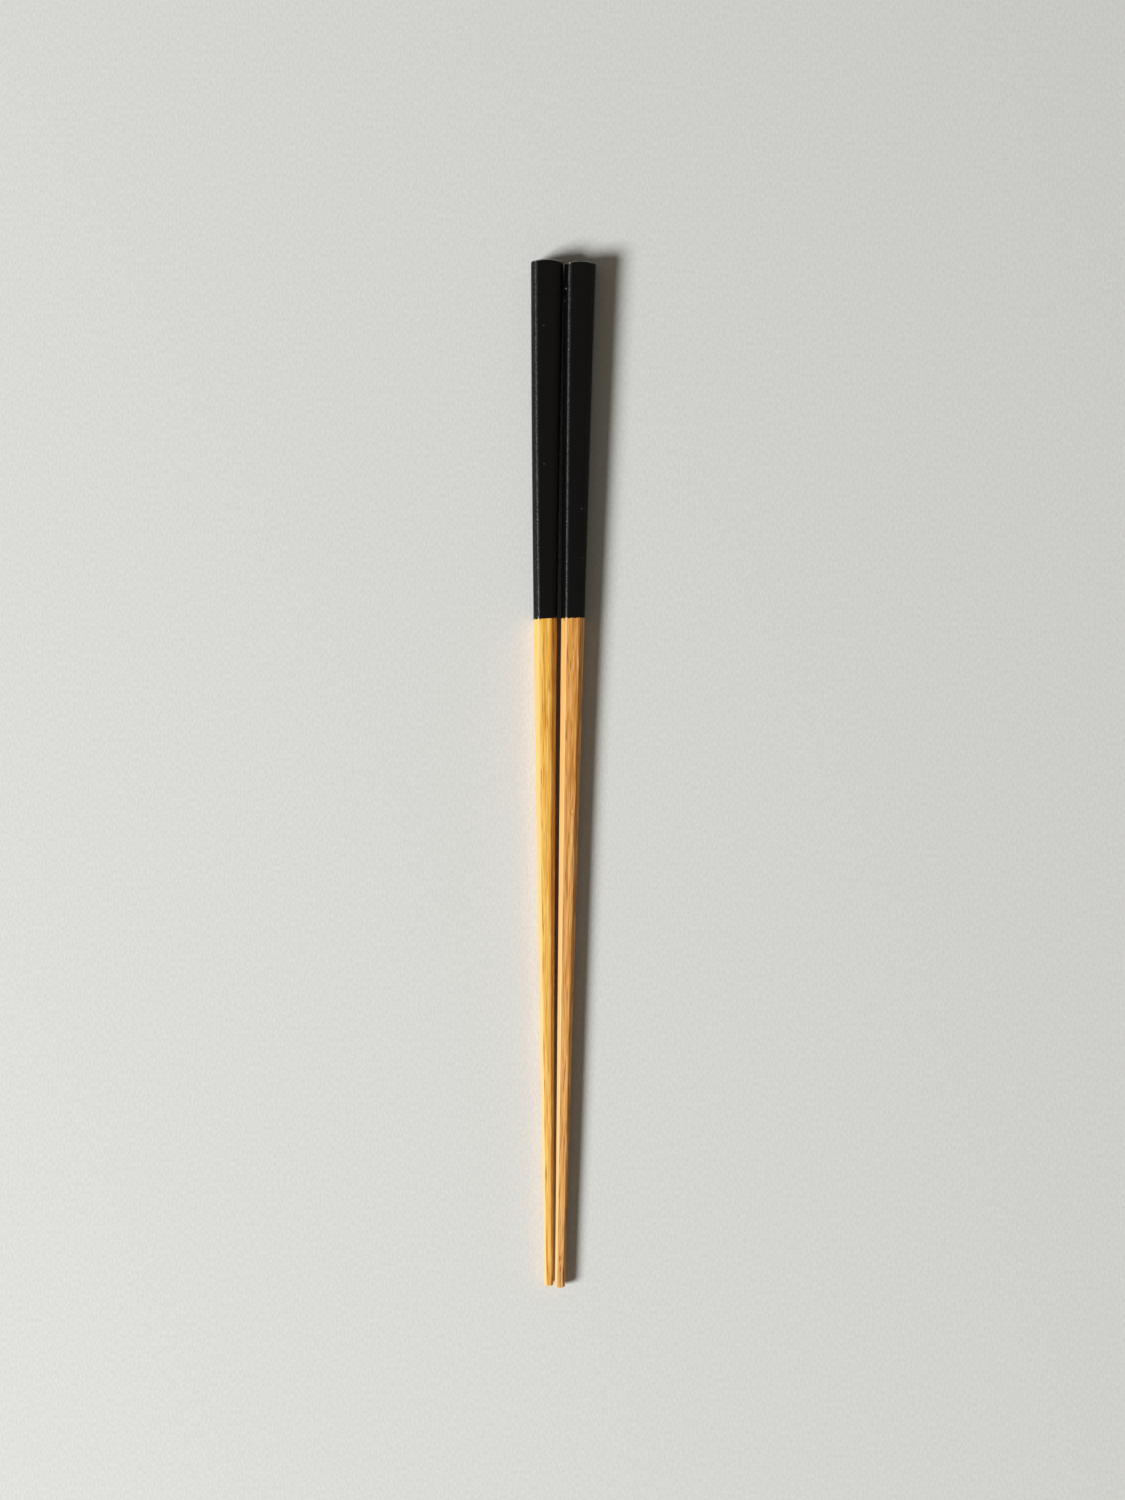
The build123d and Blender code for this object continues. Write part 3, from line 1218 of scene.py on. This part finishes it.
    def build(
        self, tree: ChopstickTree, bamboo: bpy.types.Material, lacquer: bpy.types.Material
    ) -> list[bpy.types.Object]:
        """Make the two pieces and set them on the frame.

        Args:
            tree: The tree that sweeps the section.
            bamboo: The stick's finish.
            lacquer: The coat's finish.

        Returns:
            The stick and its coat.
        """
        name = self.side.value
        stick = tree.sweep(name + "_bamboo_stick", self.stick_rings(), self.sizes(), bamboo)
        coat = tree.sweep(name + "_handle_lacquer", self.coat_rings(), self.coat_sizes(), lacquer)
        for piece, node, slot in (
            (stick, name + "_chopstick", "bamboo_" + name),
            (coat, name + "_lacquer_coat", "black_lacquer"),
        ):
            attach(piece, "root")
            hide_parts(node)
        return [stick, coat]


@dataclass(frozen=True)
class Pair:
    """The two chopsticks and how they lie beside each other. Sizes are in millimetres.

    Attributes:
        whittling: The sizes that both share.
        left_widths: The left stick's widths.
        right_widths: The right stick's widths.
        left_bow: How far the left stick bows to the left.
        right_bow: The same for the right stick.
        left_dip_tilt: How far the left lacquer's edge is out of square, in degrees.
        right_dip_tilt: The same for the right lacquer.
        left_dip_set_back: How far the left lacquer stops short on the upper left edge.
        right_dip_set_back: The same for the right lacquer.
        left_dip_creep: How much further down the stick the left lacquer crept.
        right_dip_creep: The same for the right lacquer, which stopped a little short.
        butt_gap: Gap between the two handles at the butts.
        tip_gap: Gap between the tips.
        left_lean: How far the left tip lies to the right of its butt.
        right_set_back: How much further down the picture the right stick lies.
    """

    whittling: Whittling = Whittling()
    left_widths: Widths = Widths(7.06, 5.20, 2.30, 2.06)
    right_widths: Widths = Widths(6.96, 5.28, 2.48, 2.28)
    left_bow: float = 0.54
    right_bow: float = 0.10
    left_dip_tilt: float = 3.5
    right_dip_tilt: float = 2.5
    left_dip_set_back: float = 0.10
    right_dip_set_back: float = 0.26
    left_dip_creep: float = 0.42
    right_dip_creep: float = -0.10
    butt_gap: float = 0.38
    tip_gap: float = 0.34
    left_lean: float = 0.34
    right_set_back: float = 0.40

    def places(self) -> tuple[Place, Place]:
        """Work out where the two lie, with the origin under the middle of the pair.

        Returns:
            The left chopstick's place and the right one's.
        """
        coats = 2 * self.whittling.lacquer_thickness
        left_handle = self.left_widths.butt + coats
        right_handle = self.right_widths.butt + coats
        pair_width = left_handle + self.butt_gap + right_handle
        pair_length = self.whittling.stick_length + self.right_set_back
        left_x = (left_handle - pair_width) / 2
        right_x = (pair_width - right_handle) / 2
        left_tip_x = left_x + self.left_lean
        right_tip_x = left_tip_x + (self.left_widths.tip + self.right_widths.tip) / 2 + self.tip_gap
        return (
            Place(left_x, left_tip_x, pair_length / 2),
            Place(right_x, right_tip_x, pair_length / 2 - self.right_set_back),
        )

    def chopsticks(self) -> tuple[Chopstick, Chopstick]:
        """Set the sizes of the two and place them.

        Returns:
            The left chopstick and the right one.
        """
        left, right = self.places()
        return (
            Chopstick(
                Side.LEFT,
                self.whittling,
                self.left_widths,
                left,
                self.left_bow,
                self.left_dip_tilt,
                self.left_dip_set_back,
                self.left_dip_creep,
                seed=3.0,
            ),
            Chopstick(
                Side.RIGHT,
                self.whittling,
                self.right_widths,
                right,
                self.right_bow,
                self.right_dip_tilt,
                self.right_dip_set_back,
                self.right_dip_creep,
                seed=17.0,
            ),
        )


@dataclass(frozen=True)
class Studio:
    """The paper floor, the light and the camera.

    Attributes:
        view_height: Height of the picture on the floor, in metres.
        aim: The point of the floor in the middle of the picture, in metres.
        camera_height: Height of the camera above the floor, in metres.
        key_direction: The way from the object to the key light.
        key_distance: How far away the key light is, in metres.
        key_spread: The key light's diameter as a share of its distance.
        key_power: The key light's power, in watts.
        key_colour: The key light's colour, linear.
        fill: The light from all round, linear.
        paper: The floor's finish, which also gives the backdrop that the camera sees past it.
        floor_size: Length of the floor's sides, in metres.
    """

    view_height: float = 0.3373
    aim: tuple[float, float] = (-0.00029, 0.00537)
    camera_height: float = 0.75
    key_direction: tuple[float, float, float] = (-1.11, -0.48, 1.0)
    key_distance: float = 2.5
    key_spread: float = 0.38
    key_power: float = 84.8
    key_colour: tuple[float, float, float] = (0.96, 0.99, 1.0)
    fill: tuple[float, float, float, float] = (0.145, 0.132, 0.108, 1.0)
    paper: PaperFinish = PaperFinish()
    floor_size: float = 6.0

    def build(self) -> None:
        """Set up the floor, the key light, the fill and the camera."""
        self.lay_floor()
        self.hang_key()
        self.light_room()
        self.set_camera()

    def lay_floor(self) -> None:
        """Lay the sheet of paper under the chopsticks."""
        reach = self.floor_size / 2
        corners = [(-reach, -reach, 0), (reach, -reach, 0), (reach, reach, 0), (-reach, reach, 0)]
        mesh = bpy.data.meshes.new("paper_floor")
        mesh.from_pydata(corners, [], [(0, 1, 2, 3)])
        mesh.materials.append(self.paper.material())
        floor = bpy.data.objects.new("paper_floor", mesh)
        bpy.context.scene.collection.objects.link(floor)

    def hang_key(self) -> None:
        """Hang one broad soft lamp to the left, a little towards the tips."""
        light = bpy.data.lights.new("key", "AREA")
        light.shape = "DISK"
        light.size = self.key_spread * self.key_distance
        light.energy = self.key_power
        light.color = self.key_colour
        lamp = bpy.data.objects.new("key", light)
        away = Vector(self.key_direction).normalized()
        lamp.location = away * self.key_distance
        lamp.rotation_euler = away.to_track_quat("Z", "Y").to_euler()
        lamp.visible_camera = False
        bpy.context.scene.collection.objects.link(lamp)

    def light_room(self) -> None:
        """Give the room its dim warm fill, and the backdrop that only the camera sees."""
        world = bpy.data.worlds.new("room")
        world.use_nodes = True
        tree = world.node_tree
        tree.nodes.clear()
        fill = add_node(tree, "ShaderNodeBackground", {0: self.fill, 1: 1.0})
        backdrop = add_node(tree, "ShaderNodeBackground", {0: linear(self.paper.backdrop), 1: 1.0})
        seen = add_node(tree, "ShaderNodeLightPath").outputs["Is Camera Ray"]
        both = add_node(tree, "ShaderNodeMixShader", {0: seen, 1: fill.outputs[0], 2: backdrop.outputs[0]})
        add_node(tree, "ShaderNodeOutputWorld", {0: both.outputs[0]})
        bpy.context.scene.world = world

    def set_camera(self) -> None:
        """Look straight down, with the butts at the top of the picture."""
        data = bpy.data.cameras.new("camera")
        data.lens = data.sensor_width * self.camera_height / self.view_height
        data.clip_start = 0.01
        data.clip_end = 100.0
        camera = bpy.data.objects.new("camera", data)
        camera.location = (*self.aim, self.camera_height)
        bpy.context.scene.collection.objects.link(camera)
        bpy.context.scene.camera = camera


def golden_bamboo() -> BambooFinish:
    """The left stick's wood: golden, with little contrast and a creamy left facet, whose cream is a painted
    sheen.

    Returns:
        The finish, with its marks.
    """
    return BambooFinish(
        name="golden_oiled_bamboo",
        body="#f4b23c",
        deep="#e8a236",
        pale="#ffd274",
        dark="#d38e36",
        streak="#b26c26",
        tip="#f8bf66",
        worn="#ffc858",
        side="#f8a33c",
        facet="#ebb66e",
        cream="#edc08a",
        edge="#f2c480",
        arris="#c47026",
        worn_share=0.8,
        side_share=0.8,
        facet_share=0.8,
        edge_share=0.2,
        arris_share=0.6,
        streak_start=0.61,
        seed=4.0,
        marks=(
            Mark(0.72, 82.1, 2.55, 0.30, 3.0, "#ffdc94", 0.6),
            Mark(-0.34, 84.8, 2.55, 0.28, 4.0, "#c8843a", 0.7),
            Mark(1.85, 85.5, 2.2, 0.45, 7.0, "#a2571a", 0.75),
            Mark(-0.27, 165.9, 1.7, 0.34, 4.0, "#ffda96", 0.75),
            Mark(0.78, 228.1, 0.8, 0.45, 4.0, "#9c5420", 0.75),
        ),
    )


def tan_bamboo() -> BambooFinish:
    """The right stick's wood: more tan, with stronger fibres and a bright painted highlight on its left
    edge.

    Returns:
        The finish, with its marks.
    """
    return BambooFinish(
        name="tan_oiled_bamboo",
        body="#e0993e",
        deep="#cd8738",
        pale="#f4bc78",
        dark="#b3702e",
        streak="#8f5526",
        tip="#eeb266",
        worn="#e8a552",
        side="#e09b48",
        facet="#dfac60",
        cream="#e8ba80",
        edge="#f3cb90",
        arris="#a8622a",
        worn_share=0.3,
        side_share=0.8,
        facet_share=0.8,
        edge_share=0.75,
        arris_share=0.7,
        streak_start=0.59,
        seed=31.0,
        marks=(
            Mark(-1.97, 80.4, 2.4, 0.42, 0.6, "#2e1e10", 1.0),
            Mark(1.44, 86.6, 2.4, 0.38, 7.5, "#a4561f", 0.85),
            Mark(0.16, 86.3, 2.5, 0.30, 2.6, "#a4642a", 0.8),
            Mark(-0.29, 90.4, 2.5, 0.34, 3.4, "#965420", 0.85),
            Mark(0.47, 123.3, 2.1, 1.05, 1.8, "#b8742d", 0.85),
            Mark(0.66, 123.2, 2.1, 0.75, 1.3, "#efb566", 0.9),
            Mark(1.05, 212.5, 0.8, 0.50, 3.2, "#9a5218", 0.85),
            Mark(-0.10, 223.3, 1.1, 0.42, 2.0, "#6e3c10", 0.95),
            Mark(0.06, 225.5, 1.1, 0.42, 2.8, "#a0602a", 0.85),
            Mark(0.66, 226.9, 0.95, 0.44, 5.2, "#62320e", 0.95),
        ),
    )


def left_lacquer() -> LacquerFinish:
    """The left handle's lacquer, with two motes of dust and a painted glint on a corner of its rim.

    Returns:
        The finish, with its marks.
    """
    return LacquerFinish(
        name="left_satin_black_lacquer",
        marks=(
            # Painted glint where the upper left edge meets the butt's rim
            Mark(-2.62, 0.75, 3.0, 0.34, 0.6, "#d8d0c4", 0.85),
            Mark(-0.60, 15.2, 3.4, 0.38, 0.38, "#5c5852", 0.7),
            Mark(-0.33, 46.0, 3.1, 0.38, 0.38, "#5c5852", 0.7),
        ),
    )


def right_lacquer() -> LacquerFinish:
    """The right handle's lacquer, dustier, and worn through to the wood at the rim.

    Returns:
        The finish, with its marks.
    """
    return LacquerFinish(
        name="right_satin_black_lacquer",
        marks=(
            Mark(-2.42, 0.80, 3.1, 0.50, 0.95, "#e8c383", 0.95),
            Mark(-3.15, 6.55, 2.9, 0.48, 0.48, "#6a665f", 0.85),
            Mark(-2.19, 9.0, 3.4, 0.38, 0.38, "#5c5852", 0.7),
            Mark(-3.40, 9.2, 2.6, 0.38, 0.48, "#5c5852", 0.7),
            Mark(1.43, 55.6, 2.95, 0.38, 0.38, "#5c5852", 0.7),
            Mark(1.82, 66.5, 2.8, 0.38, 0.38, "#5c5852", 0.7),
        ),
    )


def main() -> None:
    """Load the frame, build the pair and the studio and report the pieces."""
    logging.basicConfig(level=logging.INFO, format="%(name)s: %(message)s")
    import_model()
    left, right = Pair().chopsticks()
    tree = ChopstickTree(left.sizes())
    for chopstick, bamboo, lacquer in (
        (left, golden_bamboo(), left_lacquer()),
        (right, tan_bamboo(), right_lacquer()),
    ):
        for piece in chopstick.build(tree, bamboo.material(), lacquer.material()):
            log.info("%s: %d faces", piece.name, len(piece.data.polygons))
    Studio().build()
    bpy.context.scene.view_settings.view_transform = "Standard"


if __name__ == "__main__":
    main()
